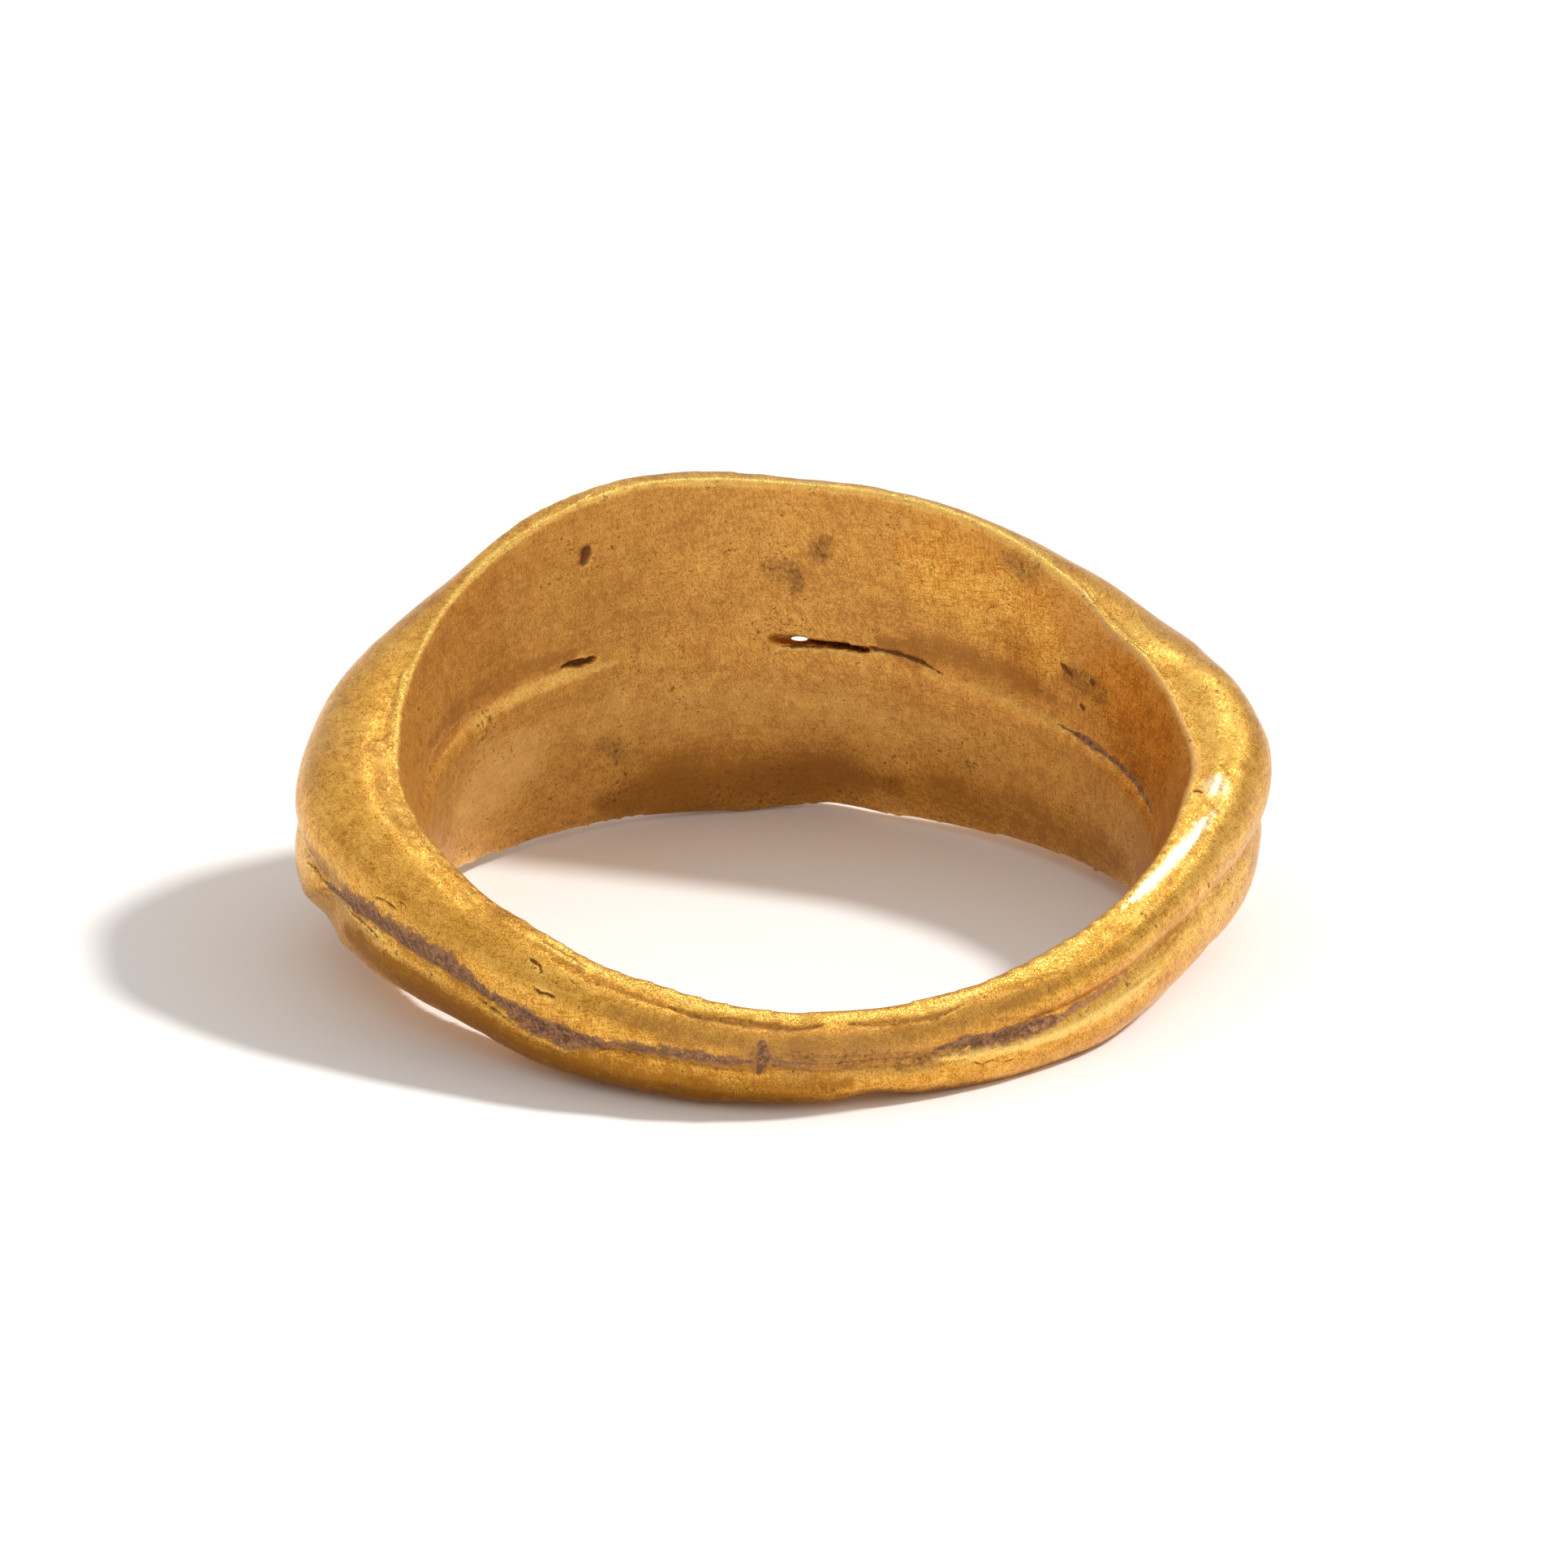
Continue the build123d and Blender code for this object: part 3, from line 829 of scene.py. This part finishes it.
def weighed(tree, *parts, start=0.0):
    """Sum of a start and of each part times its weight, as an output."""
    total = start
    for part, weight in parts:
        total = (add(tree, "ShaderNodeMath", {0: part, 1: weight, 2: total},
                     operation="MULTIPLY_ADD"), "Value")
    return total


def span(tree, value, ends):
    """How far a value is from one end to the other, from 0 to 1, as an output."""
    return add(tree, "ShaderNodeMapRange", {
        "Value": value, "From Min": ends[0], "From Max": ends[1]},
        interpolation_type="SMOOTHSTEP"), "Result"


def fine_noise(tree, coordinates, scale):
    """A detailed noise on those coordinates, as an output."""
    return add(tree, "ShaderNodeTexNoise", {
        "Vector": coordinates, "Scale": scale, "Detail": NOISE_DETAIL,
        "Roughness": NOISE_ROUGHNESS}), "Fac"


def painted(tree, share, under, over):
    """One colour over another by its share, as an output."""
    return add(tree, "ShaderNodeMix", {MIX_SHARE: share, MIX_A: under, MIX_B: over},
               data_type="RGBA"), MIX_RESULT


def scratches(tree, place):
    """Fine scratches that run several ways, from 0 to 1, as an output."""
    scratch = 0.0
    for turn in SCRATCH_TURNS:
        slant = add(tree, "ShaderNodeMapping", {
            "Vector": place, "Rotation": [turn * share for share in SCRATCH_TILT],
            "Scale": (SCRATCH_LENGTH * MM, SCRATCH_WIDTH * MM, SCRATCH_WIDTH * MM)},
            vector_type="TEXTURE")
        lines = add(tree, "ShaderNodeTexNoise", {
            "Vector": (slant, "Vector"), "Scale": 1.0, "Detail": 1.0})
        line = add(tree, "ShaderNodeMapRange", {
            "Value": (lines, "Fac"), "From Min": SCRATCHED[0], "From Max": SCRATCHED[1]})
        scratch = (add(tree, "ShaderNodeMath", {0: (line, "Result"), 1: scratch},
                       operation="MAXIMUM"), "Value")
    return scratch


def gold_material(colours):
    """High-carat gold, hammered, worn satin by skin and soil, with soil left in its hollows.

    To the eye: warm yellow metal, finely mottled and scratched, bright and grainy along its
    rubbed edges, browner inside, with purple-brown matt soil in the groove.
    """
    material = bpy.data.materials.new("high-carat gold, hammered and satin-worn")
    material.use_nodes = True
    tree = material.node_tree
    tree.nodes.clear()
    place = (add(tree, "ShaderNodeTexCoord"), "Object")
    lay = (add(tree, "ShaderNodeAttribute", attribute_name="lay"), "Vector")
    soil_at, stain_at, rub_and_shading_at, film_at, polish_and_highlight_at, inside_at = (
        (add(tree, "ShaderNodeAttribute", attribute_name=name), "Fac")
        for name in ("soil", "stain", "rub", "film", "polish", "inside"))
    clouds, mottle, fleck, grain = (
        fine_noise(tree, place, per(width)) for width in (CLOUD, MOTTLE, FLECK, GRAIN))
    run = add(tree, "ShaderNodeMapping", {
        "Vector": lay, "Scale": (1 / STREAK_LENGTH, 1 / STREAK_LENGTH, 1 / STREAK_WIDTH)})
    streaks = fine_noise(tree, (run, "Vector"), 1.0)
    scratch = scratches(tree, place)

    # Specks and stains, and soil with a crumbled edge
    crumble = weighed(tree, (mottle, 1.0), (fleck, 1.2), (grain, 0.6))
    clods = weighed(tree, (mottle, 2.0), (fleck, 2.0), (grain, 1.0))
    specks, stain, soil = (
        (add(tree, "ShaderNodeMapRange", {"Value": level, "From Min": least, "From Max": most,
                                          "To Max": full},
             interpolation_type="SMOOTHSTEP"), "Result")
        for level, (least, most, full) in (
            (weighed(tree, (clouds, 0.4), (fleck, 0.6), (grain, 0.3), (inside_at, 0.02)), SPECKS),
            (weighed(tree, (crumble, 1.0), (stain_at, 1.5)), STAINS),
            (weighed(tree, (clods, 1.0), (soil_at, 1.8)), SOIL)))
    # Tone: lighter where rubbed and where the marks paint light, darker where they paint shade
    # (below 0).
    tone = weighed(tree, (clouds, 0.26), (mottle, 0.32), (fleck, 0.24), (streaks, 0.18),
                   (rub_and_shading_at, 0.16), (inside_at, -0.02), (scratch, -0.16))
    earth = span(tree, weighed(tree, (mottle, 0.3), (fleck, 0.4), (grain, 0.3)), PALE_EARTH)
    colour = (*colours.deep, 1)
    for share, paint in (
            (span(tree, tone, MIDDLE_TONE), colours.middle),
            (span(tree, tone, BRIGHT_TONE), colours.gold),
            (weighed(tree, (inside_at, 0.2), (film_at, 0.6)), colours.film),
            # Painted shade: the dull colour goes on where the marks' rub is below 0, mostly in
            # creases, under the rim and on faces that reflect the shadowed floor.
            (weighed(tree, (rub_and_shading_at, -0.32)), colours.dull),
            # Painted highlight: near-white laid on by polish where the lamp's highlight falls.
            (weighed(tree, (polish_and_highlight_at, 0.5)), colours.bright),
            (stain, colours.stain), (specks, colours.stain)):
        colour = painted(tree, share, colour, (*paint, 1))
    crumbs = painted(tree, earth, (*colours.soil_dark, 1), (*colours.soil, 1))
    colour = painted(tree, soil, colour, crumbs)

    metal = weighed(tree, (soil, -1.0), (inside_at, -0.3), (film_at, -0.2), (stain, -0.2),
                    start=1.0)
    satin = span(tree, fleck, SATIN)
    rough = weighed(tree, (satin, 0.08), (rub_and_shading_at, -0.12), (specks, 0.15), (stain, 0.12),
                    (soil, 0.45), (film_at, 0.2), (inside_at, 0.04), (polish_and_highlight_at, -0.12),
                    start=GOLD_ROUGHNESS)
    lively = weighed(tree, (rub_and_shading_at, 1.2), start=0.3)
    firm = weighed(tree, (polish_and_highlight_at, -0.75), start=1.0)
    height = add(tree, "ShaderNodeMath", {0: grain, 1: lively}, operation="MULTIPLY")
    normal = None
    # Each pattern's height in millimetres, below 0 where it is cut in
    for level, deep in ((mottle, 0.010), (fleck, 0.005), ((height, "Value"), 0.006),
                        (streaks, 0.003), (scratch, -0.003)):
        inputs = {"Strength": firm, "Distance": abs(deep) * MM, "Height": level}
        if normal:
            inputs["Normal"] = normal
        normal = (add(tree, "ShaderNodeBump", inputs, invert=deep < 0), "Normal")
    shader = add(tree, "ShaderNodeBsdfPrincipled", {
        "Base Color": colour, "Metallic": metal, "Roughness": rough,
        "Normal": normal})
    add(tree, "ShaderNodeOutputMaterial", {"Surface": (shader, "BSDF")})
    return material


class SetStage(bpy.types.Operator):
    """Add the floor, the lights and the camera"""

    bl_idname = "double_ring.set_stage"
    bl_label = "Stage"

    def execute(self, context):
        scene = context.scene
        stage = scene.ring_stage
        mesh = bpy.data.meshes.new("floor")
        bm = bmesh.new()
        bmesh.ops.create_grid(bm, x_segments=1, y_segments=1, size=stage.floor_width / 2)
        bm.to_mesh(mesh)
        bm.free()
        floor = bpy.data.objects.new("floor", mesh)
        scene.collection.objects.link(floor)
        material = bpy.data.materials.new("matt white paper")
        material.use_nodes = True
        shader = material.node_tree.nodes["Principled BSDF"]
        shader.inputs["Base Color"].default_value = (*stage.floor_colour, 1)
        shader.inputs["Roughness"].default_value = PAPER_ROUGHNESS
        mesh.materials.append(material)

        for row in LAMPS:
            light = bpy.data.lights.new(row.name, "SUN")
            light.energy = row.strength
            light.angle = math.radians(row.spread)
            lamp = bpy.data.objects.new(row.name, light)
            towards = Vector((-row.right, -row.back, -row.up))
            lamp.rotation_euler = towards.to_track_quat("-Z", "Y").to_euler()
            lamp.visible_glossy = row.in_gold
            lamp.visible_diffuse = not row.in_gold
            scene.collection.objects.link(lamp)

        world = bpy.data.worlds.new("room")
        world.use_nodes = True
        room = world.node_tree.nodes["Background"]
        room.inputs["Color"].default_value = (*stage.room_colour, 1)
        room.inputs["Strength"].default_value = stage.fill_strength
        scene.world = world

        view = bpy.data.cameras.new("camera")
        view.lens = stage.lens
        view.clip_start = CLIP_START
        camera = bpy.data.objects.new("camera", view)
        place, turn = look_from(stage)
        camera.matrix_world = Matrix.Translation(place) @ turn.to_4x4()
        scene.collection.objects.link(camera)
        scene.camera = camera
        scene.view_settings.view_transform = "Standard"
        return {"FINISHED"}


class RingPanel(bpy.types.Panel):
    """The ring's sizes, colours and makers in the sidebar"""

    bl_idname = "VIEW3D_PT_double_ring"
    bl_label = "Double Ring"
    bl_space_type = "VIEW_3D"
    bl_region_type = "UI"
    bl_category = "Double Ring"

    def draw(self, context):
        layout = self.layout
        for group in (context.scene.ring_sizes, context.scene.ring_colours,
                      context.scene.ring_stage):
            box = layout.box()
            for name in group.__annotations__:
                box.prop(group, name)
        for operator in OPERATORS:
            layout.operator(operator.bl_idname)


OPERATORS = (ShapeRing, SetStage)
CLASSES = (RingSizes, RingColours, StageSizes, *OPERATORS, RingPanel)


def register():
    for cls in CLASSES:
        bpy.utils.register_class(cls)
    bpy.types.Scene.ring_sizes = PointerProperty(type=RingSizes)
    bpy.types.Scene.ring_colours = PointerProperty(type=RingColours)
    bpy.types.Scene.ring_stage = PointerProperty(type=StageSizes)


def unregister():
    del bpy.types.Scene.ring_stage
    del bpy.types.Scene.ring_colours
    del bpy.types.Scene.ring_sizes
    for cls in reversed(CLASSES):
        bpy.utils.unregister_class(cls)


def main():
    """Builds the ring and its stage."""
    register()
    bpy.ops.double_ring.shape_ring()
    bpy.ops.double_ring.set_stage()


if __name__ == "__main__":
    main()
